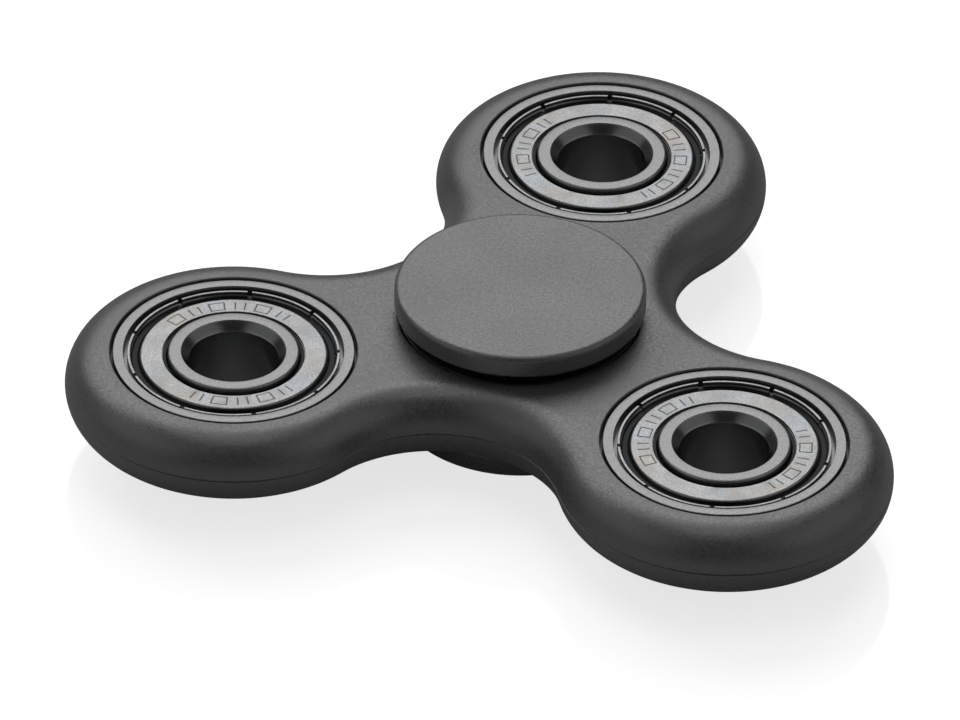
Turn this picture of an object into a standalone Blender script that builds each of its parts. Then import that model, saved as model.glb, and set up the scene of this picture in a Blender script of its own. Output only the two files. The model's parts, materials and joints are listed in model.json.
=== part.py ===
"""Three-lobed fidget spinner: a moulded body, two finger pads and four shielded ball bearings.

Units are metres and +Z is up. The origin is the middle of the lower pad's resting face, on the
spin axis. One lobe points along +Y, the other two to the front left and the front right.
"""
import math

import bmesh
import bpy
from mathutils import Vector

MM = 0.001

# The standard 8 x 22 x 7 mm bearing, which all four seats hold.
BORE_RADIUS = 4.0 * MM
OUTER_RADIUS = 11.0 * MM
BEARING_WIDTH = 7.0 * MM
BALL_RADIUS = 1.9845 * MM
BALL_COUNT = 7
BORE_CHAMFER = 0.8 * MM
RACE_GAP = 0.095 * MM
RACE_DEPTH = 0.58 * MM
OUTER_FACE_WIDTH = 0.95 * MM

# Shields: depths are measured down from the rings' faces.
SHIELD_EDGE_GAP = 0.37 * MM
SHIELD_BORE_GAP = 0.5 * MM
SHIELD_SHEET = 0.25 * MM
SHIELD_DEPTH = 0.31 * MM
SHIELD_STEP = 0.29 * MM
SHIELD_STEP_SLOPE = 0.18 * MM
SHIELD_RIM_WIDTH = 1.26 * MM
LIP_WIDTH = 0.26 * MM
LIP_DEPTH = 0.2 * MM
SHIELD_SEAT_GAP = 0.2 * MM

# Cage: two waved ribbons that meet between the balls.
CAGE_WIDTH = 1.2 * MM
CAGE_SHEET = 0.2 * MM
CAGE_BALL_GAP = 0.06 * MM
CAGE_HALF_GAP = 0.1 * MM

# Body.
SEAT_GAP = 0.25 * MM
SEAT_CHAMFER = 0.15 * MM
FACE_RECESS = 0.1 * MM
WEB_WIDTH = 4.28 * MM
RIM_WALL = 4.12 * MM
WAIST_WALL = 3.85 * MM
EDGE_ROUND = 3.43 * MM
SEAT_LAND = 0.2 * MM
LOBE_ANGLES = {"back": 90.0, "left": 210.0, "right": 330.0}

# Finger pads.
PAD_RADIUS = 11.5 * MM
PAD_THICKNESS = 2.12 * MM
PAD_ROUND = 0.44 * MM
PAD_AIR_GAP = 0.98 * MM
PAD_SEAT_GAP = 0.3 * MM
SHOULDER_MARGIN = 0.4 * MM
SLEEVE_GAP = 0.2 * MM
SLEEVE_WALL = 1.2 * MM
POST_GAP = 0.2 * MM
POST_END_GAP = 0.5 * MM

# Fineness of the round shapes.
RING_SIDES = 24
PAD_SIDES = 40
SEAT_SIDES = 32
LOBE_STEPS = 24
WAIST_STEPS = 8
EDGE_STEPS = 4
RACE_STEPS = 4
POCKET_STEPS = 5
PAD_ROUND_STEPS = 2
BALL_SUBDIVISIONS = 2
SMOOTH_ANGLE = math.radians(35.0)
WELD = 0.001 * MM
CUTTER_OVERRUN = 1.0 * MM

# Sizes that follow from the values above.
HALF_WIDTH = BEARING_WIDTH / 2
PITCH_RADIUS = (BORE_RADIUS + OUTER_RADIUS) / 2
RACE_RADIUS = BALL_RADIUS + RACE_GAP
INNER_LAND = PITCH_RADIUS - RACE_RADIUS + RACE_DEPTH
OUTER_LAND = PITCH_RADIUS + RACE_RADIUS - RACE_DEPTH
RACE_HALF_ANGLE = math.acos((RACE_RADIUS - RACE_DEPTH) / RACE_RADIUS)
RECESS_RADIUS = OUTER_RADIUS - OUTER_FACE_WIDTH
SHIELD_RADIUS = RECESS_RADIUS - SHIELD_EDGE_GAP
SHIELD_BORE = INNER_LAND + SHIELD_BORE_GAP
RECESS_DEPTH = SHIELD_DEPTH + SHIELD_STEP + SHIELD_SHEET + SHIELD_SEAT_GAP
SEAT_RADIUS = OUTER_RADIUS + SEAT_GAP
LOBE_PITCH = 2 * SEAT_RADIUS + WEB_WIDTH
LOBE_RADIUS = SEAT_RADIUS + RIM_WALL
WAIST_REACH = SEAT_RADIUS + WAIST_WALL
BODY_THICKNESS = BEARING_WIDTH + 2 * FACE_RECESS
EDGE_INSET = min(EDGE_ROUND, min(RIM_WALL, WAIST_WALL) - SEAT_CHAMFER - SEAT_LAND)
MID_HEIGHT = PAD_THICKNESS + PAD_AIR_GAP + BODY_THICKNESS / 2
PAD_REACH = MID_HEIGHT - HALF_WIDTH - PAD_SEAT_GAP
SHOULDER_RADIUS = INNER_LAND - SHOULDER_MARGIN
SLEEVE_RADIUS = BORE_RADIUS - SLEEVE_GAP
SOCKET_RADIUS = SLEEVE_RADIUS - SLEEVE_WALL
POST_RADIUS = SOCKET_RADIUS - POST_GAP


def clear_scene():
    for item in list(bpy.data.objects):
        bpy.data.objects.remove(item, do_unlink=True)


def finish(name, colour, roughness, metallic):
    """A plain surface finish."""
    material = bpy.data.materials.new(name)
    material.use_nodes = True
    shader = material.node_tree.nodes["Principled BSDF"]
    shader.inputs["Base Color"].default_value = (*colour, 1.0)
    shader.inputs["Roughness"].default_value = roughness
    shader.inputs["Metallic"].default_value = metallic
    material.diffuse_color = (*colour, 1.0)
    return material


def finished_mesh(name, bm, material):
    """Close a bmesh into a smooth-shaded mesh whose faces point out."""
    bmesh.ops.remove_doubles(bm, verts=bm.verts, dist=WELD)
    bmesh.ops.recalc_face_normals(bm, faces=bm.faces)
    mesh = bpy.data.meshes.new(name)
    bm.to_mesh(mesh)
    bm.free()
    mesh.materials.append(material)
    mesh.shade_smooth()
    mesh.set_sharp_from_angle(angle=SMOOTH_ANGLE)
    return mesh


def turned(name, profile, sides, material):
    """Turn a (radius, height) outline about Z; one that starts on the axis stays open there."""
    bm = bmesh.new()
    points = [bm.verts.new((radius, 0.0, height)) for radius, height in profile]
    followers = points[1:]
    if profile[0][0] > 0.0:
        followers = followers + points[:1]
    edges = [bm.edges.new(pair) for pair in zip(points, followers)]
    bmesh.ops.spin(
        bm,
        geom=points + edges,
        cent=(0.0, 0.0, 0.0),
        axis=(0.0, 0.0, 1.0),
        angle=2 * math.pi,
        steps=sides,
        use_merge=True,
    )
    return finished_mesh(name, bm, material)


def arc(centre, radius, start, end, steps):
    """Points (radius, height) on an arc about a centre, both ends included."""
    angles = [start + (end - start) * step / steps for step in range(steps + 1)]
    return [
        (centre[0] + radius * math.cos(angle), centre[1] + radius * math.sin(angle))
        for angle in angles
    ]


def place(name, mesh, parent, location=(0.0, 0.0, 0.0), rotation=(0.0, 0.0, 0.0)):
    piece = bpy.data.objects.new(name, mesh)
    piece.parent = parent
    piece.location = location
    piece.rotation_euler = rotation
    bpy.context.scene.collection.objects.link(piece)
    return piece


def outer_ring_mesh(material):
    """Ring with a ball race inside and a recess at each end for a shield.

    The race is turned larger by the facet factor, so that its flats clear the balls.
    """
    facet = 1.0 / math.cos(math.pi / RING_SIDES)
    race = arc((PITCH_RADIUS, 0.0), RACE_RADIUS, -RACE_HALF_ANGLE, RACE_HALF_ANGLE, RACE_STEPS)
    floor = HALF_WIDTH - RECESS_DEPTH
    profile = [
        (OUTER_RADIUS, HALF_WIDTH),
        (OUTER_RADIUS, -HALF_WIDTH),
        (RECESS_RADIUS, -HALF_WIDTH),
        (RECESS_RADIUS, -floor),
        (OUTER_LAND, -floor),
        *[(radius * facet, height) for radius, height in race],
        (OUTER_LAND, floor),
        (RECESS_RADIUS, floor),
        (RECESS_RADIUS, HALF_WIDTH),
    ]
    return turned("outer_ring", profile, RING_SIDES, material)


def inner_ring_mesh(material):
    """Ring with a ball race outside and a wide chamfer at each end of its bore."""
    race = arc(
        (PITCH_RADIUS, 0.0),
        RACE_RADIUS,
        math.pi - RACE_HALF_ANGLE,
        math.pi + RACE_HALF_ANGLE,
        RACE_STEPS,
    )
    face_start = BORE_RADIUS + BORE_CHAMFER
    bore_end = HALF_WIDTH - BORE_CHAMFER
    profile = [
        (face_start, HALF_WIDTH),
        (INNER_LAND, HALF_WIDTH),
        *race,
        (INNER_LAND, -HALF_WIDTH),
        (face_start, -HALF_WIDTH),
        (BORE_RADIUS, -bore_end),
        (BORE_RADIUS, bore_end),
    ]
    return turned("inner_ring", profile, RING_SIDES, material)


def shield_mesh(material):
    """Pressed sheet disc with a step near its rim and a crimped lip around it."""
    flat = HALF_WIDTH - SHIELD_DEPTH
    step = flat - SHIELD_STEP
    step_radius = SHIELD_RADIUS - SHIELD_RIM_WIDTH
    lip_radius = SHIELD_RADIUS - LIP_WIDTH
    lip_top = HALF_WIDTH - LIP_DEPTH
    profile = [
        (SHIELD_BORE, flat),
        (step_radius, flat),
        (step_radius + SHIELD_STEP_SLOPE, step),
        (lip_radius, step),
        (lip_radius, lip_top),
        (SHIELD_RADIUS, lip_top),
        (SHIELD_RADIUS, step - SHIELD_SHEET),
        (step_radius, step - SHIELD_SHEET),
        (step_radius - SHIELD_STEP_SLOPE, flat - SHIELD_SHEET),
        (SHIELD_BORE, flat - SHIELD_SHEET),
    ]
    return turned("shield", profile, RING_SIDES, material)


def pocket_side(rise, level):
    """One side of the ribbon over a ball, as (distance along the pitch circle, height)."""
    half_angle = math.acos(level / rise)
    angles = [half_angle * (2 * step / POCKET_STEPS - 1) for step in range(POCKET_STEPS + 1)]
    return [(rise * math.sin(angle), rise * math.cos(angle)) for angle in angles]


def cage_mesh(material):
    """Upper half of the cage: a ribbon that arches over each ball and lies flat between them."""
    under_level = CAGE_HALF_GAP / 2
    under_rise = (BALL_RADIUS + CAGE_BALL_GAP) / math.cos(math.pi / 2 / POCKET_STEPS)
    under = pocket_side(under_rise, under_level)
    over = pocket_side(under_rise + CAGE_SHEET, under_level + CAGE_SHEET)
    inside = PITCH_RADIUS - CAGE_WIDTH / 2
    outside = PITCH_RADIUS + CAGE_WIDTH / 2
    bm = bmesh.new()
    stations = []
    for ball in range(BALL_COUNT):
        middle = 2 * math.pi * ball / BALL_COUNT
        for low, high in zip(under, over):
            corners = []
            for radius, (along, height) in ((inside, low), (outside, low), (outside, high), (inside, high)):
                angle = middle + along / PITCH_RADIUS
                corner = Vector((radius * math.cos(angle), radius * math.sin(angle), height))
                corners.append(bm.verts.new(corner))
            stations.append(corners)
    for near, far in zip(stations, stations[1:] + stations[:1]):
        for corner in range(4):
            following = (corner + 1) % 4
            bm.faces.new((near[corner], near[following], far[following], far[corner]))
    return finished_mesh("cage_half", bm, material)


def ball_mesh(material):
    bm = bmesh.new()
    bmesh.ops.create_icosphere(bm, subdivisions=BALL_SUBDIVISIONS, radius=BALL_RADIUS)
    return finished_mesh("ball", bm, material)


def bearing_meshes():
    """The meshes that all four bearings share, by piece."""
    ring_steel = finish("ring_steel", (0.56, 0.56, 0.55), 0.3, 1.0)
    shield_steel = finish("shield_steel", (0.62, 0.62, 0.6), 0.35, 1.0)
    cage_steel = finish("cage_steel", (0.5, 0.5, 0.48), 0.4, 1.0)
    ball_steel = finish("ball_steel", (0.7, 0.7, 0.7), 0.08, 1.0)
    return {
        "outer_ring": outer_ring_mesh(ring_steel),
        "inner_ring": inner_ring_mesh(ring_steel),
        "shield": shield_mesh(shield_steel),
        "cage": cage_mesh(cage_steel),
        "ball": ball_mesh(ball_steel),
    }


def bearing(name, axis, meshes):
    """One bearing about its axis empty; the lower shield and cage half are turned over."""
    turned_over = (math.pi, 0.0, 0.0)
    place(f"{name}_outer_ring", meshes["outer_ring"], axis)
    place(f"{name}_inner_ring", meshes["inner_ring"], axis)
    place(f"{name}_upper_shield", meshes["shield"], axis)
    place(f"{name}_lower_shield", meshes["shield"], axis, rotation=turned_over)
    place(f"{name}_upper_cage", meshes["cage"], axis)
    place(f"{name}_lower_cage", meshes["cage"], axis, rotation=turned_over)
    for ball in range(BALL_COUNT):
        angle = 2 * math.pi * ball / BALL_COUNT
        spot = (PITCH_RADIUS * math.cos(angle), PITCH_RADIUS * math.sin(angle), 0.0)
        place(f"{name}_ball_{ball + 1}", meshes["ball"], axis, location=spot)


def body_outline(inset):
    """Outline of the three lobes and the waists between them, moved in by an inset.

    Each waist is an arc that touches both its lobes and passes the spin axis at WAIST_REACH.
    """
    waist_radius = (
        LOBE_PITCH ** 2 + WAIST_REACH ** 2 - LOBE_PITCH * WAIST_REACH - LOBE_RADIUS ** 2
    ) / (2 * LOBE_RADIUS + LOBE_PITCH - 2 * WAIST_REACH)
    waist_pitch = WAIST_REACH + waist_radius
    sixth = math.pi / 3
    lobe_half = math.atan2(
        waist_pitch * math.sin(sixth),
        waist_pitch * math.cos(sixth) - LOBE_PITCH,
    )
    waist_half = lobe_half - sixth
    points = []
    for degrees in LOBE_ANGLES.values():
        lobe = math.radians(degrees)
        centre = (LOBE_PITCH * math.cos(lobe), LOBE_PITCH * math.sin(lobe))
        points += arc(centre, LOBE_RADIUS - inset, lobe - lobe_half, lobe + lobe_half, LOBE_STEPS)
        waist = lobe + sixth
        centre = (waist_pitch * math.cos(waist), waist_pitch * math.sin(waist))
        inward = waist + math.pi
        bend = arc(centre, waist_radius + inset, inward + waist_half, inward - waist_half, WAIST_STEPS)
        points += bend[1:-1]
    return points


def body_mesh(material):
    """The body before its seats are cut: a plate whose edge is rounded all the way over."""
    bm = bmesh.new()
    half = BODY_THICKNESS / 2
    loops = []
    for step in range(-EDGE_STEPS, EDGE_STEPS + 1):
        slope = math.pi / 2 * step / EDGE_STEPS
        outline = body_outline(EDGE_INSET * (1 - math.cos(slope)))
        loops.append([bm.verts.new((x, y, half * math.sin(slope))) for x, y in outline])
    for lower, upper in zip(loops, loops[1:]):
        corners = zip(lower, lower[1:] + lower[:1], upper[1:] + upper[:1], upper)
        for quad in corners:
            bm.faces.new(quad)
    bm.faces.new(loops[0])
    bm.faces.new(loops[-1])
    return finished_mesh("body", bm, material)


def cut_seat(body, name, axis, material):
    """Cut one bearing seat right through the body, with a lead-in chamfer at each end."""
    half = BODY_THICKNESS / 2
    mouth = SEAT_RADIUS + SEAT_CHAMFER + CUTTER_OVERRUN
    profile = [
        (0.0, half + CUTTER_OVERRUN),
        (mouth, half + CUTTER_OVERRUN),
        (SEAT_RADIUS, half - SEAT_CHAMFER),
        (SEAT_RADIUS, SEAT_CHAMFER - half),
        (mouth, -half - CUTTER_OVERRUN),
        (0.0, -half - CUTTER_OVERRUN),
    ]
    cutter = place(f"{name}_seat_cutter", turned("seat_cutter", profile, SEAT_SIDES, material), axis)
    cutter.hide_render = True
    cutter.display_type = "WIRE"
    cut = body.modifiers.new(f"{name}_seat", "BOOLEAN")
    cut.operation = "DIFFERENCE"
    cut.solver = "EXACT"
    cut.object = cutter


def pad_disc():
    """Outline of a pad's disc, from the middle of its outer face to the back of its rim."""
    inset = PAD_RADIUS - PAD_ROUND
    quarter = math.pi / 2
    return [
        (0.0, 0.0),
        *arc((inset, PAD_ROUND), PAD_ROUND, -quarter, 0.0, PAD_ROUND_STEPS),
        *arc((inset, PAD_THICKNESS - PAD_ROUND), PAD_ROUND, 0.0, quarter, PAD_ROUND_STEPS),
    ]


def lower_pad_mesh(material):
    """Disc, shoulder under the inner ring, and a sleeve that stands up through its bore."""
    sleeve_top = MID_HEIGHT + HALF_WIDTH
    profile = [
        *pad_disc(),
        (SHOULDER_RADIUS, PAD_THICKNESS),
        (SHOULDER_RADIUS, PAD_REACH),
        (SLEEVE_RADIUS, PAD_REACH),
        (SLEEVE_RADIUS, sleeve_top),
        (SOCKET_RADIUS, sleeve_top),
        (SOCKET_RADIUS, PAD_THICKNESS),
        (0.0, PAD_THICKNESS),
    ]
    return turned("lower_finger_pad", profile, PAD_SIDES, material)


def upper_pad_mesh(material):
    """Disc, shoulder and a post that plugs into the sleeve; modelled outer face down."""
    post_reach = 2 * MID_HEIGHT - PAD_THICKNESS - POST_END_GAP
    profile = [
        *pad_disc(),
        (SHOULDER_RADIUS, PAD_THICKNESS),
        (SHOULDER_RADIUS, PAD_REACH),
        (POST_RADIUS, PAD_REACH),
        (POST_RADIUS, post_reach),
        (0.0, post_reach),
    ]
    return turned("upper_finger_pad", profile, PAD_SIDES, material)


def make_spinner():
    clear_scene()
    body_plastic = finish("body_plastic", (0.07, 0.07, 0.07), 0.5, 0.0)
    pad_plastic = finish("pad_plastic", (0.09, 0.09, 0.09), 0.55, 0.0)

    place("lower_finger_pad", lower_pad_mesh(pad_plastic), None)
    total_height = (0.0, 0.0, 2 * MID_HEIGHT)
    place("upper_finger_pad", upper_pad_mesh(pad_plastic), None, total_height, (math.pi, 0.0, 0.0))

    spin_axis = place("spin_axis", None, None, location=(0.0, 0.0, MID_HEIGHT))
    body = place("body", body_mesh(body_plastic), spin_axis)
    seats = {"centre": (0.0, 0.0, 0.0)}
    for name, degrees in LOBE_ANGLES.items():
        lobe = math.radians(degrees)
        seats[name] = (LOBE_PITCH * math.cos(lobe), LOBE_PITCH * math.sin(lobe), 0.0)

    meshes = bearing_meshes()
    for name, spot in seats.items():
        axis = place(f"{name}_bearing_axis", None, spin_axis, location=spot)
        cut_seat(body, name, axis, body_plastic)
        bearing(name, axis, meshes)


make_spinner()
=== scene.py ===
import json
import math

import bmesh
import bpy
from mathutils import Matrix, Vector


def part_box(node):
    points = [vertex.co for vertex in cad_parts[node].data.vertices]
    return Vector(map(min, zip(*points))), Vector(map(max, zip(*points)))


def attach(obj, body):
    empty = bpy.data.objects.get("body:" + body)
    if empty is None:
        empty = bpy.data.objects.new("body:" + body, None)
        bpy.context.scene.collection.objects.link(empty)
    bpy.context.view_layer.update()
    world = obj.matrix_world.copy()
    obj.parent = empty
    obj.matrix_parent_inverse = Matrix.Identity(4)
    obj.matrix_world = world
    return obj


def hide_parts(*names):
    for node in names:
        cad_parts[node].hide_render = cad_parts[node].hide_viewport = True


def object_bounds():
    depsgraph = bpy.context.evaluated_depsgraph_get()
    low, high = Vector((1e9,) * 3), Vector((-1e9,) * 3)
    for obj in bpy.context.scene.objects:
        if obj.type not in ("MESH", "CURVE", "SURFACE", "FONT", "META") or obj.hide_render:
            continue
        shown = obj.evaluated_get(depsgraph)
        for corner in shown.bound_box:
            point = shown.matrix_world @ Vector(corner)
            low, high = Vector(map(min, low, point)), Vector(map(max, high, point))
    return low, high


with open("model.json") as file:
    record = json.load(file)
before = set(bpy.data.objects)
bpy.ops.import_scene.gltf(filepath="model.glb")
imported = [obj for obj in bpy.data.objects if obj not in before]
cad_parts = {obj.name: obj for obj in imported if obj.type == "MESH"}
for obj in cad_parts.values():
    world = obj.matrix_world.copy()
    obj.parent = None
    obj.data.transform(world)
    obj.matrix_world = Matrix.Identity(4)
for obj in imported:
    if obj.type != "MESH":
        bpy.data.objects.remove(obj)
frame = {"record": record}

MM = 0.001
CAD_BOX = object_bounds()
LOBES = ("back", "left", "right")
BEARINGS = ("centre",) + LOBES
BALL_COUNT = 7
BODY_OF = {
    node: body
    for body, nodes in frame["record"]["behaviour"]["bodies"].items()
    for node in nodes
}


def middle(node):
    """Centre of a CAD node's box."""
    low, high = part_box(node)
    return (low + high) / 2


def reach(node):
    """Radius of a round CAD node, measured along X."""
    low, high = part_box(node)
    return (high.x - low.x) / 2


def half_height(node):
    """Half of a CAD node's height."""
    low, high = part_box(node)
    return (high.z - low.z) / 2


# Sizes that the frame gives.
AXIS = {name: middle(f"{name}_outer_ring") for name in BEARINGS}
MID_HEIGHT = AXIS["centre"].z
TOTAL_HEIGHT = CAD_BOX[1].z
HALF_BODY = half_height("body")
HALF_WIDTH = half_height("centre_outer_ring")
RING_RADIUS = reach("centre_outer_ring")
LAND_RADIUS = reach("centre_inner_ring")
SHIELD_RADIUS = reach("centre_upper_shield")
PAD_RADIUS = reach("upper_finger_pad")
LOBE_PITCH = AXIS["back"].y
LOBE_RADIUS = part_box("body")[1].y - LOBE_PITCH

# Body details.
SEAT_GAP = 0.25 * MM
SEAT_EDGE = 0.15 * MM
CENTRE_SEAT_EDGE = 0.03 * MM
GRIP_HALF_HEIGHT = 2.2 * MM
GRIP_GAP = 0.02 * MM
WAIST_WALL = 3.85 * MM
EDGE_ROUND = 3.43 * MM
FLAT_MARGIN = 0.05 * MM
SEAM_HALF_WIDTH = 0.09 * MM
SEAM_DEPTH = 0.12 * MM
LOBE_STEPS = 96
WAIST_STEPS = 40
EDGE_STEPS = 16
SEAT_EDGE_STEPS = 4
SEAT_SIDES = 128
SEAT_RADIUS = RING_RADIUS + SEAT_GAP

# Finger pad details.
PAD_THICKNESS = 2.12 * MM
PAD_ROUND = 0.55 * MM
PAD_BACK_ROUND = 0.25 * MM
PAD_SIDES = 160
PAD_ROUND_STEPS = 6
PAD_SEAT_GAP = 0.3 * MM
SHOULDER_TOP = MID_HEIGHT - HALF_WIDTH - PAD_SEAT_GAP
SHOULDER_RADIUS = LAND_RADIUS - 0.4 * MM
SHOULDER_ROUND = 0.1 * MM
SLEEVE_RADIUS = 3.8 * MM
SLEEVE_ROUND = 0.2 * MM
SOCKET_RADIUS = 2.6 * MM
SOCKET_ROUND = 0.15 * MM
POST_RADIUS = 2.4 * MM
POST_ROUND = 0.3 * MM
POST_CLEARANCE = 0.5 * MM

# Bearing details. Depths in the shield are measured down from the bearing's face.
PITCH_RADIUS = 7.5 * MM
BALL_RADIUS = 1.9845 * MM
RACE_RADIUS = 2.08 * MM
RACE_DEPTH = 0.58 * MM
RACE_STEPS = 12
BALL_SIDES = 40
BALL_STEPS = 28
BORE_RADIUS = 4.0 * MM
BORE_CHAMFER = 0.8 * MM
LOWER_CHAMFER = 0.62 * MM
LAND_ROUND = 0.26 * MM
CHAMFER_ROUND = 0.04 * MM
THROAT_ROUND = 0.25 * MM
RING_EDGE = 0.09 * MM
CENTRE_RING_EDGE = 0.02 * MM
RECESS_WIDTH = 0.95 * MM
RECESS_DEPTH = 1.05 * MM
RECESS_LEAN = 0.06 * MM
RECESS_ROUND = 0.05 * MM
RING_SIDES = 144
SHIELD_BORE = LAND_RADIUS + 0.5 * MM
SHIELD_LEDGE = LAND_RADIUS + 0.14 * MM
FACE_DEPTH = 0.31 * MM
LEDGE_DEPTH = 0.6 * MM
LEDGE_SHEET = 0.16 * MM
GROOVE_DEPTH = 0.74 * MM
LIP_WIDTH = 0.26 * MM
LIP_DEPTH = 0.2 * MM
SHIELD_BACK = 0.94 * MM
CRIMP_RADIUS = 9.0 * MM
NOTCHES = 9
NOTCH_WIDTH = math.radians(2.6)
NOTCH_WALL = math.radians(0.12)
NOTCH_STEPS = 14
CAGE_SHEET = 0.2 * MM
CAGE_WIDTH = 1.2 * MM
CAGE_LEVEL = 0.05 * MM
POCKET_GAP = 0.06 * MM
POCKET_STEPS = 16

# Inspection marks etched in the shields: rows by their middle's angle and number of marks.
MARK_ROWS = ((0.0, 6), (math.radians(183.0), 5))
MARK_RADIUS = 7.35 * MM
MARK_PITCH = math.radians(16.5)
MARK_WIDTH = 1.35 * MM
MARK_HEIGHT = 1.1 * MM
MARK_ASPECT = MARK_WIDTH / MARK_HEIGHT
MARK_LINE = 0.14 * MM

# Where each lobe bearing was turned to when it was pressed in: the angle of the long row of
# etched marks, and the angle from it to the nearest notch.
SHIELD_TURN = {
    "centre": (0.0, 0.0),
    "back": (math.radians(3.0), math.radians(18.5)),
    "left": (math.radians(111.0), math.radians(27.5)),
    "right": (math.radians(174.6), math.radians(24.4)),
}

# Finishes: how deep each one's fine relief is, and how far its mottle spreads in tone.
PLASTIC_SHEEN = 1.0
PLASTIC_IOR = 1.75
PLASTIC_RELIEF = 0.032 * MM
PLASTIC_GLOSS_SPREAD = 0.5
SPECKLE_SHARE = 0.3
GROUND_RELIEF = 0.006 * MM
PRESSED_RELIEF = 0.008 * MM
CAGE_RELIEF = 0.004 * MM
BALL_RELIEF = 0.0005 * MM
MOTTLE_SPREAD = (-1.2, 2.2)
TINT_SPREAD = (-0.8, 1.8)

# Studio: the camera sees the floor, and the part sees a grey card in the floor's place.
FLOOR_SIZE = 6.0
FLOOR_DEPTH = 0.02 * MM
FLOOR_TONE = 0.8
FLOOR_ROUGHNESS = 0.07
FLOOR_GLOW = 0.745
CARD_DEPTH = 0.04 * MM
CARD_TONE = 0.48
CARD_ROUGHNESS = 0.9
CARD_GLOW = 0.02
HAZE_SIZE = 0.4
HAZE = 0.01
SURROUND_ABOVE = 0.045
SURROUND_BELOW = 0.19
SURROUND_FADE = (-0.2, 0.3)
LAMP_DISTANCE = 1.2
SIDE_BOX_TURN = 75.0
CAMERA_AZIMUTH = math.radians(16.133)
CAMERA_ELEVATION = math.radians(36.064)
CAMERA_ROLL = math.radians(0.8395)
CAMERA_DISTANCE = 1168.85 * MM
CAMERA_SHIFT = (-3.651 * MM, -4.336 * MM)
CAMERA_LENS = 480.04
CAMERA_SENSOR = 36.0


class Field:
    """A value or colour that varies over a surface; arithmetic on it adds Math nodes."""

    def __init__(self, tree, socket):
        self.tree = tree
        self.socket = socket

    def node(self, kind, settings, sockets, output=0):
        """Add a node: its settings first, then its sockets' values or links."""
        made = self.tree.nodes.new(kind)
        for name, value in settings.items():
            setattr(made, name, value)
        for name, value in sockets.items():
            if isinstance(value, Field):
                self.tree.links.new(value.socket, made.inputs[name])
            else:
                made.inputs[name].default_value = value
        return Field(self.tree, made.outputs[output])

    def maths(self, operation, *values):
        """A Math node on values or fields, in their order."""
        return self.node("ShaderNodeMath", {"operation": operation}, dict(enumerate(values)))

    def __add__(self, other):
        return self.maths("ADD", self, other)

    def __radd__(self, other):
        return self.maths("ADD", other, self)

    def __sub__(self, other):
        return self.maths("SUBTRACT", self, other)

    def __rsub__(self, other):
        return self.maths("SUBTRACT", other, self)

    def __mul__(self, other):
        return self.maths("MULTIPLY", self, other)

    def __rmul__(self, other):
        return self.maths("MULTIPLY", other, self)

    def __mod__(self, other):
        return self.maths("FLOORED_MODULO", self, other)

    def __rmod__(self, other):
        return self.maths("FLOORED_MODULO", other, self)

    def __lt__(self, other):
        return self.maths("LESS_THAN", self, other)

    def __gt__(self, other):
        return self.maths("GREATER_THAN", self, other)

    def __abs__(self):
        return self.maths("ABSOLUTE", self)

    def larger(self, other):
        """The larger of two fields at each point."""
        return self.maths("MAXIMUM", self, other)

    def band(self, low, high, soft):
        """1 between low and high, fading to 0 over a soft distance on each side."""
        rise = self.node(
            "ShaderNodeMapRange",
            {"clamp": True},
            {"Value": self, "From Min": low - soft, "From Max": low + soft},
        )
        fall = self.node(
            "ShaderNodeMapRange",
            {"clamp": True},
            {"Value": self, "From Min": high + soft, "From Max": high - soft},
        )
        return rise * fall

    def between(self, low, high):
        """The 0 to 1 field spread over a range."""
        return self * (high - low) + low


class Finish:
    """A Principled material with its texture coordinates at hand."""

    def __init__(self, name):
        self.material = bpy.data.materials.new(name)
        self.material.use_nodes = True
        self.tree = self.material.node_tree
        self.shader = self.tree.nodes["Principled BSDF"]
        start = Field(self.tree, self.shader.outputs["BSDF"])
        self.place = start.node("ShaderNodeTexCoord", {}, {}, output="Object")

    def polar(self):
        """Radius and angle about the piece's own axis, and its height."""
        parts = self.place.node("ShaderNodeSeparateXYZ", {}, {"Vector": self.place})
        x, y, z = (Field(self.tree, socket) for socket in parts.socket.node.outputs)
        square = x * x + y * y
        return square.maths("SQRT", square), y.maths("ARCTAN2", y, x), z

    def stretched(self, radius, angle, height, length):
        """Coordinates that draw a texture out along the turn, by a length for each radian."""
        along = {"X": radius, "Y": angle * length, "Z": height}
        return self.place.node("ShaderNodeCombineXYZ", {}, along)

    def noise(self, feature, detail=2.0, vector=None, roughness=0.5):
        """Noise from 0 to 1 whose blobs are about as large as feature."""
        return self.place.node(
            "ShaderNodeTexNoise",
            {},
            {
                "Vector": vector or self.place,
                "Scale": 1.0 / feature,
                "Detail": detail,
                "Roughness": roughness,
            },
        )

    def mix(self, share, first, second):
        """Two colours, or fields of colour, mixed by a field."""
        sockets = {"Factor": share, 6: first, 7: second}
        return self.place.node("ShaderNodeMix", {"data_type": "RGBA"}, sockets, output=2)

    def relief(self, height, depth):
        """A bump of a depth from a height field."""
        return self.place.node(
            "ShaderNodeBump", {}, {"Height": height, "Distance": depth, "Strength": 1.0}
        )

    def feed(self, **sockets):
        """Set or link the shader's sockets; underscores in their names stand for spaces."""
        for name, value in sockets.items():
            socket = self.shader.inputs[name.replace("_", " ")]
            if isinstance(value, Field):
                self.tree.links.new(value.socket, socket)
            else:
                socket.default_value = value
        return self.material


def grey(level, warmth=0.0):
    """A near-neutral colour; warmth leans it to red, and below zero to blue."""
    return (level * (1 + warmth), level, level * (1 - warmth), 1.0)


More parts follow.
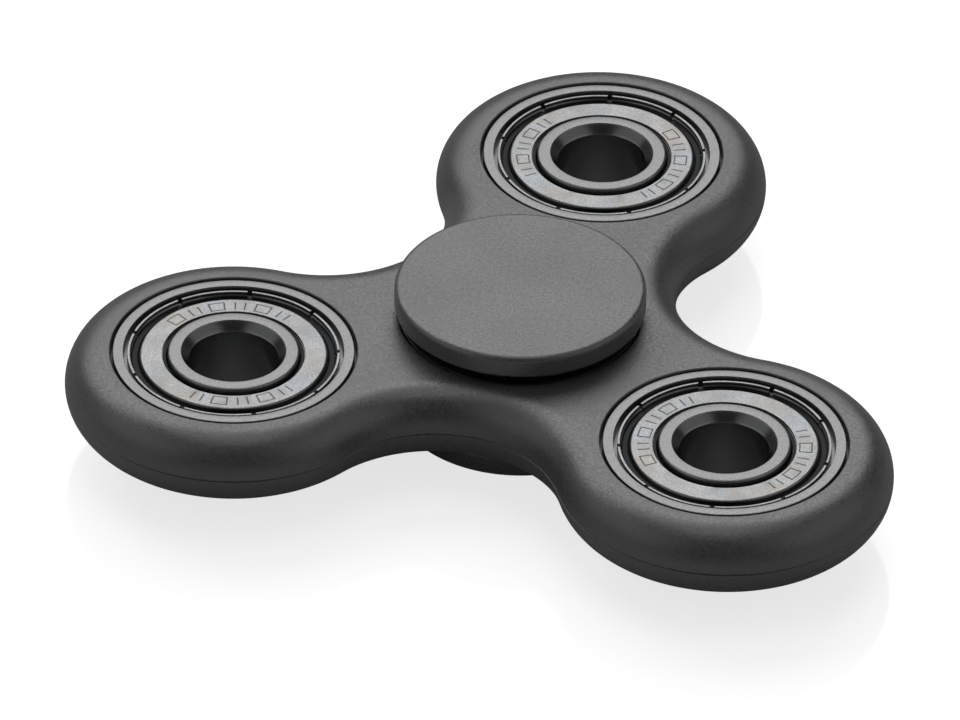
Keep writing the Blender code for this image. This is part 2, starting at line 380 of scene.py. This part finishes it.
def moulded_plastic(name, level, roughness):
    """Dark plastic from a finely spark-eroded mould: even colour, tiny grain, soft sheen."""
    finish = Finish(name)
    grain = finish.noise(0.28 * MM, detail=4.0, roughness=0.7)
    pits = finish.noise(0.09 * MM, detail=1.0)
    flow = finish.noise(9.0 * MM, detail=2.0)
    tone = finish.mix(flow, grey(level * 0.94, -0.02), grey(level * 1.06, -0.02))
    darker = finish.mix(SPECKLE_SHARE, tone, grey(0.0))
    lighter = finish.mix(SPECKLE_SHARE, tone, grey(level * 2.0))
    spread = PLASTIC_GLOSS_SPREAD
    return finish.feed(
        Base_Color=finish.mix(grain, darker, lighter),
        Roughness=(grain * 0.8 + flow * 0.2).between(roughness - spread, roughness + spread),
        Metallic=0.0,
        IOR=PLASTIC_IOR,
        Specular_IOR_Level=PLASTIC_SHEEN,
        Normal=finish.relief(grain * 0.7 + pits * 0.3, PLASTIC_RELIEF),
    )


def ground_steel(name):
    """Hardened ring steel: ground faces with a fine mottle, and painted shade in the bore and its
    chamfered mouth.
    """
    finish = Finish(name)
    radius, angle, height = finish.polar()
    lines = finish.stretched(radius, angle, height, 1.2 * MM)
    grinding = finish.noise(0.05 * MM, detail=2.0, vector=lines)
    mottle = finish.noise(0.16 * MM, detail=3.0, roughness=0.7)
    oil = finish.noise(3.0 * MM, detail=2.0)
    # Masks of the bore's chamfered mouth and of the bore itself, where painted shade goes.
    mouth_shade = radius.band(0.0, BORE_RADIUS + 0.9 * BORE_CHAMFER, 0.08 * MM)
    bore = radius.band(0.0, BORE_RADIUS + 0.1 * MM, 0.08 * MM)
    tone = finish.mix(oil, grey(0.21, 0.05), grey(0.25, -0.05))
    speckle = (grinding * 0.4 + mottle * 0.6).between(*MOTTLE_SPREAD)
    tone = finish.mix(speckle, grey(0.4), tone)
    # Painted shade: the chamfered mouth is painted a darker grey and the bore one even grey,
    # standing in for the shade and dark reflections in them.
    tone = finish.mix(mouth_shade, tone, grey(0.23, -0.02))
    tone = finish.mix(bore, tone, grey(0.36, -0.02))
    return finish.feed(
        Base_Color=tone,
        Metallic=1.0,
        Roughness=(grinding * 0.5 + mottle * 0.5).between(0.26, 0.44) - mouth_shade * 0.12,
        Normal=finish.relief(grinding * 0.5 + mottle * 0.5, GROUND_RELIEF),
    )


def etched_marks(radius, angle):
    """Mask of the two rows of plain inspection marks: open boxes between pairs of bars."""
    across = abs(radius - MARK_RADIUS)
    marks = 0.0
    for centre, count in MARK_ROWS:
        turn = (angle - (centre - MARK_PITCH * count / 2)) % (2 * math.pi)
        row = turn < MARK_PITCH * count
        along = abs((turn % MARK_PITCH - MARK_PITCH / 2) * MARK_RADIUS)
        box = (turn % (2 * MARK_PITCH)) > MARK_PITCH
        tall = across < MARK_HEIGHT / 2
        bars = (abs(along - MARK_WIDTH / 3) < MARK_LINE / 2) * tall
        frame_line = abs(along.larger(across * MARK_ASPECT) - MARK_WIDTH / 2)
        outline = frame_line < MARK_LINE / 2
        marks = marks + row * (box * outline + (1 - box) * bars)
    return marks


def pressed_steel(name):
    """Bright shield sheet with two rows of etched marks, and its groove and inner ledge painted
    near black as painted shade.
    """
    finish = Finish(name)
    radius, angle, height = finish.polar()
    lines = finish.stretched(radius, angle, height, 2.5 * MM)
    brushing = finish.noise(0.07 * MM, detail=2.0, vector=lines)
    mottle = finish.noise(0.2 * MM, detail=3.0, roughness=0.7)
    patches = finish.noise(2.2 * MM, detail=3.0)
    tint = finish.noise(3.5 * MM, detail=1.0)
    marks = etched_marks(radius, angle)
    # Masks of the rolled groove and of the inner ledge by the bore, which are painted near black
    # as painted shade.
    groove = radius.band(8.5 * MM, 9.35 * MM, 0.06 * MM)
    ledge = radius < LAND_RADIUS + 0.47 * MM
    tone = finish.mix(tint.between(*TINT_SPREAD), grey(0.28, 0.16), grey(0.29, -0.16))
    speckle = (brushing * 0.35 + mottle * 0.65).between(*MOTTLE_SPREAD)
    tone = finish.mix(speckle, grey(0.5), tone)
    tone = finish.mix(patches.band(0.1, 0.45, 0.15) * 0.5, tone, grey(0.24, 0.04))
    tone = finish.mix(marks * 0.7, tone, grey(0.07, 0.02))
    # Painted shade: the groove and the inner ledge are painted near black.
    tone = finish.mix(groove.larger(ledge), tone, grey(0.02, -0.04))
    return finish.feed(
        Base_Color=tone,
        Metallic=1.0,
        Roughness=(brushing * 0.5 + mottle * 0.5).between(0.24, 0.4) + marks * 0.2,
        Normal=finish.relief(
            brushing * 0.4 + mottle * 0.3 + (1 - marks) * 0.6, PRESSED_RELIEF
        ),
    )


def cage_steel(name):
    """Rolled cage strip under a thin film of grease."""
    finish = Finish(name)
    rolling = finish.noise(0.12 * MM, detail=3.0)
    grease = finish.noise(1.5 * MM, detail=2.0)
    tone = finish.mix(grease, grey(0.42, 0.06), grey(0.5, 0.0))
    return finish.feed(
        Base_Color=finish.mix(rolling * 0.4, tone, grey(0.3, 0.04)),
        Metallic=1.0,
        Roughness=rolling.between(0.3, 0.5),
        Normal=finish.relief(rolling, CAGE_RELIEF),
    )


def ball_steel(name):
    """Lapped ball steel, almost a mirror, with a faint oil film."""
    finish = Finish(name)
    lapping = finish.noise(0.1 * MM, detail=2.0)
    film = finish.noise(0.9 * MM, detail=2.0)
    return finish.feed(
        Base_Color=finish.mix(film, grey(0.66, 0.02), grey(0.72, -0.01)),
        Metallic=1.0,
        Roughness=(lapping * 0.5 + film * 0.5).between(0.05, 0.14),
        Normal=finish.relief(lapping, BALL_RELIEF),
    )


def arc(centre, radius, start, end, steps):
    """Points on an arc about a centre, both ends included."""
    angles = [start + (end - start) * step / steps for step in range(steps + 1)]
    return [(centre[0] + radius * math.cos(a), centre[1] + radius * math.sin(a)) for a in angles]


def rounded(corners, steps=4):
    """An outline from (radius, height, rounding) corners, each rounding an arc in its corner."""
    outline = []
    for number, (radius, height, rounding) in enumerate(corners):
        corner = Vector((radius, height))
        if rounding == 0.0:
            outline.append(corner)
            continue
        before = (Vector(corners[number - 1][:2]) - corner).normalized()
        after = (Vector(corners[(number + 1) % len(corners)][:2]) - corner).normalized()
        half = before.angle(after) / 2
        centre = corner + (before + after).normalized() * (rounding / math.sin(half))
        first = corner + before * (rounding / math.tan(half)) - centre
        last = corner + after * (rounding / math.tan(half)) - centre
        sweep = math.pi - 2 * half
        for step in range(steps + 1):
            share = step / steps
            blend = first * math.sin((1 - share) * sweep) + last * math.sin(share * sweep)
            outline.append(centre + blend / math.sin(sweep))
    return outline


def closed_mesh(name, bm, smooth_angle=40.0):
    """Close a bmesh into a mesh with its faces out and its creases kept."""
    bmesh.ops.remove_doubles(bm, verts=bm.verts, dist=0.0005 * MM)
    bmesh.ops.recalc_face_normals(bm, faces=bm.faces)
    mesh = bpy.data.meshes.new(name)
    bm.to_mesh(mesh)
    bm.free()
    mesh.shade_smooth()
    mesh.set_sharp_from_angle(angle=math.radians(smooth_angle))
    return mesh


def joined_loops(bm, loops, closed):
    """Quads between neighbouring loops of points, and from the last to the first if closed."""
    rows = [[bm.verts.new(point) for point in loop] for loop in loops]
    following = rows[1:] + rows[:1] if closed else rows[1:]
    for near, far in zip(rows, following):
        for corner in range(len(near)):
            after = (corner + 1) % len(near)
            bm.faces.new((near[corner], near[after], far[after], far[corner]))
    return rows


def even_turns(sides):
    """The angles of equal steps once round."""
    return [2 * math.pi * side / sides for side in range(sides)]


def circle(radius, height, angles, centre=(0.0, 0.0)):
    """Points at a height round a centre."""
    return [
        (centre[0] + radius * math.cos(a), centre[1] + radius * math.sin(a), height)
        for a in angles
    ]


def turned(name, outline, angles=None, shape=None):
    """Turn an outline about Z; shape may change a point's height by radius and angle."""
    bm = bmesh.new()
    loops = []
    for angle in angles or even_turns(RING_SIDES):
        across, along = math.cos(angle), math.sin(angle)
        loops.append(
            [(r * across, r * along, shape(r, z, angle) if shape else z) for r, z in outline]
        )
    joined_loops(bm, loops, closed=True)
    return closed_mesh(name, bm)


def open_turned(name, outline, sides):
    """Turn an outline that starts and ends on the axis."""
    bm = bmesh.new()
    angles = even_turns(sides)
    joined_loops(bm, [circle(r, z, angles) for r, z in outline], closed=False)
    return closed_mesh(name, bm)


def fit(piece_name, mesh, node, finish, place):
    """Put a finished piece where a CAD node is, to stand for it on the same moving body."""
    piece = bpy.data.objects.new(piece_name, mesh)
    bpy.context.scene.collection.objects.link(piece)
    piece.matrix_world = place
    piece.data.materials.append(finish)
    shading = piece.modifiers.new("even_shading", "WEIGHTED_NORMAL")
    shading.keep_sharp = True
    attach(piece, BODY_OF[node])
    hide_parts(node)
    return piece


def body_outline(inset):
    """The three lobes and their waists as seen from above, moved in by an inset."""
    near = SEAT_RADIUS + WAIST_WALL
    span = LOBE_PITCH ** 2 + near ** 2 - LOBE_PITCH * near - LOBE_RADIUS ** 2
    waist = span / (2 * LOBE_RADIUS + LOBE_PITCH - 2 * near)
    waist_pitch = near + waist
    sixth = math.pi / 3
    lobe_half = math.atan2(
        waist_pitch * math.sin(sixth), waist_pitch * math.cos(sixth) - LOBE_PITCH
    )
    points = []
    for name in LOBES:
        lobe = math.atan2(AXIS[name].y, AXIS[name].x)
        centre = AXIS[name].to_2d()
        points += arc(centre, LOBE_RADIUS - inset, lobe - lobe_half, lobe + lobe_half, LOBE_STEPS)
        turn = lobe + sixth
        centre = (waist_pitch * math.cos(turn), waist_pitch * math.sin(turn))
        half = lobe_half - sixth
        inward = turn + math.pi
        points += arc(centre, waist + inset, inward + half, inward - half, WAIST_STEPS)[1:-1]
    return points


def edge_section():
    """The body's edge from its lower flat to its upper flat, as (inset, height) pairs."""
    section = [(EDGE_ROUND + FLAT_MARGIN, -HALF_BODY)]
    for step in range(-EDGE_STEPS, EDGE_STEPS + 1):
        slope = math.pi / 2 * step / EDGE_STEPS
        if step:
            section.append((EDGE_ROUND * (1 - math.cos(slope)), HALF_BODY * math.sin(slope)))
        else:
            section += [
                (0.0, -SEAM_HALF_WIDTH),
                (SEAM_DEPTH, 0.0),
                (0.0, SEAM_HALF_WIDTH),
            ]
    section.append((EDGE_ROUND + FLAT_MARGIN, HALF_BODY))
    return section


def seat_section(edge):
    """A seat's wall, as (radius, height) pairs: rounded mouths, and deep in it a band that
    closes round the ring."""
    rim = SEAT_RADIUS + edge
    grip = RING_RADIUS + GRIP_GAP
    upper = arc((rim, HALF_BODY - edge), edge, math.pi / 2, math.pi, SEAT_EDGE_STEPS)
    upper += [(SEAT_RADIUS, GRIP_HALF_HEIGHT), (grip, GRIP_HALF_HEIGHT)]
    lower = [(radius, -height) for radius, height in reversed(upper)]
    outside = rim + FLAT_MARGIN / 2
    return [(outside, HALF_BODY), *upper, *lower, (outside, -HALF_BODY)]


def rim_edges(loop):
    """The edges that join a loop of vertices to one another."""
    members = set(loop)
    return {edge for vert in loop for edge in vert.link_edges if set(edge.verts) <= members}


def body_mesh():
    """The moulding: rounded edge with its seam line, flat faces and four through seats."""
    bm = bmesh.new()
    sides = joined_loops(
        bm,
        [[(x, y, height) for x, y in body_outline(inset)] for inset, height in edge_section()],
        closed=False,
    )
    rims = [(sides[0], sides[-1])]
    turns = even_turns(SEAT_SIDES)
    for name in BEARINGS:
        edge = SEAT_EDGE if name in LOBES else CENTRE_SEAT_EDGE
        loops = [circle(r, z, turns, AXIS[name]) for r, z in seat_section(edge)]
        walls = joined_loops(bm, loops, closed=False)
        rims.append((walls[-1], walls[0]))
    for face in (0, 1):
        edges = set().union(*(rim_edges(rim[face]) for rim in rims))
        bmesh.ops.triangle_fill(bm, edges=list(edges), use_beauty=True, use_dissolve=False)
    return closed_mesh("body_moulding", bm)


def pad_front():
    """A pad's disc from the middle of its outer face to the back of its rim."""
    return [
        (0.0, 0.0, 0.0),
        (PAD_RADIUS, 0.0, PAD_ROUND),
        (PAD_RADIUS, PAD_THICKNESS, PAD_BACK_ROUND),
        (SHOULDER_RADIUS, PAD_THICKNESS, 0.0),
        (SHOULDER_RADIUS, SHOULDER_TOP, SHOULDER_ROUND),
    ]


def lower_pad_mesh():
    """The lower pad with the sleeve that goes up through the middle bearing."""
    top = MID_HEIGHT + HALF_WIDTH
    corners = pad_front() + [
        (SLEEVE_RADIUS, SHOULDER_TOP, 0.0),
        (SLEEVE_RADIUS, top, SLEEVE_ROUND),
        (SOCKET_RADIUS, top, SOCKET_ROUND),
        (SOCKET_RADIUS, PAD_THICKNESS, 0.0),
        (0.0, PAD_THICKNESS, 0.0),
    ]
    return open_turned("lower_pad_moulding", rounded(corners, PAD_ROUND_STEPS), PAD_SIDES)


def upper_pad_mesh():
    """The upper pad, face down, with the post that goes into the lower pad's sleeve."""
    tip = TOTAL_HEIGHT - PAD_THICKNESS - POST_CLEARANCE
    corners = pad_front() + [
        (POST_RADIUS, SHOULDER_TOP, 0.0),
        (POST_RADIUS, tip, POST_ROUND),
        (0.0, tip, 0.0),
    ]
    return open_turned("upper_pad_moulding", rounded(corners, PAD_ROUND_STEPS), PAD_SIDES)


def race(start):
    """The hollow that the balls run in, swept from one land to the other."""
    half = math.acos((RACE_RADIUS - RACE_DEPTH) / RACE_RADIUS)
    points = arc((PITCH_RADIUS, 0.0), RACE_RADIUS, start - half, start + half, RACE_STEPS)
    return [(radius, height, 0.0) for radius, height in points]


def outer_ring_mesh(edge):
    """Outer ring: hollow for the balls, a recess each side for a shield, rounded outside."""
    recess = RING_RADIUS - RECESS_WIDTH
    land = PITCH_RADIUS + RACE_RADIUS - RACE_DEPTH
    shelf = HALF_WIDTH - RECESS_DEPTH
    upper = [
        (land, shelf, 0.0),
        (recess - RECESS_LEAN, shelf, 0.0),
        (recess, HALF_WIDTH, RECESS_ROUND),
        (RING_RADIUS, HALF_WIDTH, edge),
    ]
    lower = [(radius, -height, rounding) for radius, height, rounding in reversed(upper)]
    return turned("ground_outer_ring", rounded(lower + race(0.0) + upper))


def inner_ring_mesh():
    """Inner ring: hollow for the balls, and a chamfer at each end of its bore."""
    upper = [
        (LAND_RADIUS, HALF_WIDTH, LAND_ROUND),
        (BORE_RADIUS + BORE_CHAMFER, HALF_WIDTH, CHAMFER_ROUND),
        (BORE_RADIUS, HALF_WIDTH - BORE_CHAMFER, THROAT_ROUND),
    ]
    lower = [
        (BORE_RADIUS, LOWER_CHAMFER - HALF_WIDTH, THROAT_ROUND),
        (BORE_RADIUS + LOWER_CHAMFER, -HALF_WIDTH, CHAMFER_ROUND),
        (LAND_RADIUS, -HALF_WIDTH, LAND_ROUND),
    ]
    hollow = list(reversed(race(math.pi)))
    return turned("ground_inner_ring", rounded(hollow + upper + lower))


def notched_angles(first):
    """Angles round a shield's rim, with close pairs at the two walls of each notch."""
    angles = []
    step = 2 * math.pi / NOTCHES
    for notch in range(NOTCHES):
        middle_angle = first + notch * step
        for side in (-1, 1):
            for wall in (-1, 1):
                angles.append(middle_angle + side * NOTCH_WIDTH / 2 + wall * NOTCH_WALL / 2)
        start = middle_angle + NOTCH_WIDTH / 2 + NOTCH_WALL
        span = step - NOTCH_WIDTH - 2 * NOTCH_WALL
        angles += [start + span * share / NOTCH_STEPS for share in range(1, NOTCH_STEPS)]
    return angles


def shield_mesh(first_notch):
    """Pressed disc: flat face, rolled groove, and a crimped lip that nine notches cut.
    Its corners go from the ledge low in its bore, over the face and the lip, and back."""
    top = HALF_WIDTH
    lip = SHIELD_RADIUS - LIP_WIDTH
    corners = [
        (SHIELD_LEDGE, top - LEDGE_DEPTH - LEDGE_SHEET, 0.03 * MM),
        (SHIELD_LEDGE, top - LEDGE_DEPTH, 0.03 * MM),
        (SHIELD_BORE, top - LEDGE_DEPTH, 0.0),
        (SHIELD_BORE, top - FACE_DEPTH, 0.04 * MM),
        (8.42 * MM, top - FACE_DEPTH, 0.25 * MM),
        (8.76 * MM, top - GROOVE_DEPTH, 0.12 * MM),
        (9.2 * MM, top - GROOVE_DEPTH, 0.12 * MM),
        (lip, top - 0.5 * MM, 0.08 * MM),
        (lip, top - LIP_DEPTH, 0.06 * MM),
        (SHIELD_RADIUS, top - LIP_DEPTH, 0.06 * MM),
        (SHIELD_RADIUS, top - SHIELD_BACK, 0.1 * MM),
        (8.68 * MM, top - SHIELD_BACK, 0.1 * MM),
        (8.3 * MM, top - 0.56 * MM, 0.15 * MM),
    ]
    step = 2 * math.pi / NOTCHES

    def notch(radius, height, angle):
        offset = abs((angle - first_notch + step / 2) % step - step / 2)
        if offset < NOTCH_WIDTH / 2 and radius > CRIMP_RADIUS:
            return min(height, top - GROOVE_DEPTH)
        return height

    outline = list(reversed(rounded(corners)))
    return turned("pressed_shield", outline, notched_angles(first_notch), notch)


def cage_mesh():
    """One cage ribbon: it arches over each ball and lies flat between them."""
    rise = (BALL_RADIUS + POCKET_GAP) / math.cos(math.pi / 10)
    inside = PITCH_RADIUS - CAGE_WIDTH / 2
    outside = PITCH_RADIUS + CAGE_WIDTH / 2
    strip = ((inside, 0.0), (outside, 0.0), (outside, CAGE_SHEET), (inside, CAGE_SHEET))
    bm = bmesh.new()
    loops = []
    for ball in range(BALL_COUNT):
        centre = 2 * math.pi * ball / BALL_COUNT
        for step in range(POCKET_STEPS + 1):
            share = 2 * step / POCKET_STEPS - 1
            loop = []
            for radius, thickness in strip:
                arch = rise + thickness
                swing = share * math.acos((CAGE_LEVEL + thickness) / arch)
                angle = centre + arch * math.sin(swing) / PITCH_RADIUS
                height = arch * math.cos(swing)
                loop.append((radius * math.cos(angle), radius * math.sin(angle), height))
            loops.append(loop)
    joined_loops(bm, loops, closed=True)
    return closed_mesh("cage_ribbon", bm)


def ball_mesh():
    """A ball, from pole to pole."""
    meridian = arc((0.0, 0.0), BALL_RADIUS, -math.pi / 2, math.pi / 2, BALL_STEPS)
    return open_turned("lapped_ball", meridian, BALL_SIDES)


def bearing(name, finishes):
    """The thirteen pieces of one bearing."""
    here = Matrix.Translation(AXIS[name])
    turned_over = here @ Matrix.Rotation(math.pi, 4, "X")
    ring, shield, cage, ball = finishes
    outside = outer_ring_mesh(RING_EDGE if name in LOBES else CENTRE_RING_EDGE)
    fit(f"{name}_ring_outside", outside, f"{name}_outer_ring", ring, here)
    fit(f"{name}_ring_inside", inner_ring_mesh(), f"{name}_inner_ring", ring, here)
    marks, first_notch = SHIELD_TURN[name]
    spin = Matrix.Rotation(marks, 4, "Z")
    for side, place in (("upper", here), ("lower", turned_over)):
        disc = shield_mesh(first_notch)
        node = f"{name}_{side}_shield"
        fit(f"{name}_shield_{side}", disc, node, shield, place @ spin)
        node = f"{name}_{side}_cage"
        fit(f"{name}_cage_{side}", cage_mesh(), node, cage, place)
    for number in range(1, BALL_COUNT + 1):
        node = f"{name}_ball_{number}"
        spot = Matrix.Translation(middle(node))
        fit(f"{name}_lapped_ball_{number}", ball_mesh(), node, ball, spot)


def plane(name, finish, depth):
    """A wide level plane just under the part, for the stage."""
    bm = bmesh.new()
    bmesh.ops.create_grid(bm, x_segments=2, y_segments=2, size=FLOOR_SIZE)
    mesh = bpy.data.meshes.new(name)
    bm.to_mesh(mesh)
    bm.free()
    mesh.materials.append(finish)
    item = bpy.data.objects.new(name, mesh)
    bpy.context.scene.collection.objects.link(item)
    item.location.z = -depth
    return item


def painted(name, tone, roughness, glow):
    """Pale paint with a faint haze, and a glow of its own."""
    finish = Finish(name)
    haze = finish.noise(HAZE_SIZE, detail=2.0)
    return finish.feed(
        Base_Color=finish.mix(haze, grey(tone - HAZE), grey(tone + HAZE)),
        Roughness=roughness,
        Emission_Color=grey(1.0),
        Emission_Strength=glow,
    )


def studio():
    """Pale floor, a grey card in its place for bounced light, and a soft surround."""
    paint = painted("pale_floor", FLOOR_TONE, FLOOR_ROUGHNESS, FLOOR_GLOW)
    floor = plane("floor", paint, FLOOR_DEPTH)
    floor.visible_diffuse = False
    floor.visible_glossy = False
    floor.visible_shadow = False
    card = painted("bounce_card", CARD_TONE, CARD_ROUGHNESS, CARD_GLOW)
    bounce = plane("bounce", card, CARD_DEPTH)
    bounce.visible_camera = False

    world = bpy.data.worlds.new("surround")
    world.use_nodes = True
    background = world.node_tree.nodes["Background"]
    start = Field(world.node_tree, background.outputs["Background"])
    place = start.node("ShaderNodeTexCoord", {}, {}, output="Generated")
    height = start.node("ShaderNodeSeparateXYZ", {}, {"Vector": place}, output="Z")
    low, high = SURROUND_FADE
    level = start.node(
        "ShaderNodeMapRange",
        {"clamp": True},
        {
            "Value": height,
            "From Min": low,
            "From Max": high,
            "To Min": SURROUND_BELOW,
            "To Max": SURROUND_ABOVE,
        },
    )
    world.node_tree.links.new(level.socket, background.inputs["Color"])
    bpy.context.scene.world = world


def looking(azimuth, elevation, roll=0.0):
    """Right, up and back directions of a camera or lamp that looks at the spin axis."""
    back = Vector(
        (
            math.sin(azimuth) * math.cos(elevation),
            -math.cos(azimuth) * math.cos(elevation),
            math.sin(elevation),
        )
    )
    level = Vector((math.cos(azimuth), math.sin(azimuth), 0.0))
    up = back.cross(level)
    right = level * math.cos(roll) + up * math.sin(roll)
    up = up * math.cos(roll) - level * math.sin(roll)
    return right, up, back


def aim(item, azimuth, elevation, distance, roll=0.0, shift=(0.0, 0.0)):
    """Place a camera or lamp to look at the body's upper face from a distance."""
    right, up, back = looking(azimuth, elevation, roll)
    spot = Vector((0.0, 0.0, MID_HEIGHT + HALF_BODY))
    spot += right * shift[0] + up * shift[1] + back * distance
    turn = Matrix((right, up, back)).transposed()
    item.matrix_world = Matrix.Translation(spot) @ turn.to_4x4()


def lamp(name, azimuth, elevation, size, power):
    """A soft box: its direction in degrees, its size in metres and its power in watts."""
    data = bpy.data.lights.new(name, "AREA")
    data.shape = "RECTANGLE"
    data.size, data.size_y = size
    data.energy = power
    item = bpy.data.objects.new(name, data)
    bpy.context.scene.collection.objects.link(item)
    aim(item, math.radians(azimuth), math.radians(elevation), LAMP_DISTANCE)


def camera():
    """The camera, a long lens from a little over a metre."""
    data = bpy.data.cameras.new("camera")
    data.lens = CAMERA_LENS
    data.sensor_width = CAMERA_SENSOR
    item = bpy.data.objects.new("camera", data)
    bpy.context.scene.collection.objects.link(item)
    aim(item, CAMERA_AZIMUTH, CAMERA_ELEVATION, CAMERA_DISTANCE, CAMERA_ROLL, CAMERA_SHIFT)
    bpy.context.scene.camera = item


camera()
body_plastic = moulded_plastic("moulded_body_plastic", 0.068, 0.38)
pad_plastic = moulded_plastic("moulded_pad_plastic", 0.087, 0.35)
raised = Matrix.Translation((0.0, 0.0, MID_HEIGHT))
fit("body_moulding", body_mesh(), "body", body_plastic, raised)
on_floor = Matrix.Identity(4)
fit("pad_lower", lower_pad_mesh(), "lower_finger_pad", pad_plastic, on_floor)
face_up = Matrix.Translation((0.0, 0.0, TOTAL_HEIGHT)) @ Matrix.Rotation(math.pi, 4, "X")
fit("pad_upper", upper_pad_mesh(), "upper_finger_pad", pad_plastic, face_up)
steels = (
    ground_steel("ground_ring_steel"),
    pressed_steel("pressed_shield_steel"),
    cage_steel("pressed_cage_steel"),
    ball_steel("lapped_ball_steel"),
)
for bearing_name in BEARINGS:
    bearing(bearing_name, steels)
studio()
lamp("back_box", 208.0, 43.5, (1.7, 0.85), 6.3)
lamp("overhead_box", 196.0, 88.0, (0.65, 0.65), 0.95)
for box, turn in (("left_box", -SIDE_BOX_TURN), ("right_box", SIDE_BOX_TURN)):
    lamp(box, math.degrees(CAMERA_AZIMUTH) + turn, 34.0, (1.5, 1.05), 1.35)
bpy.context.scene.view_settings.view_transform = "Standard"
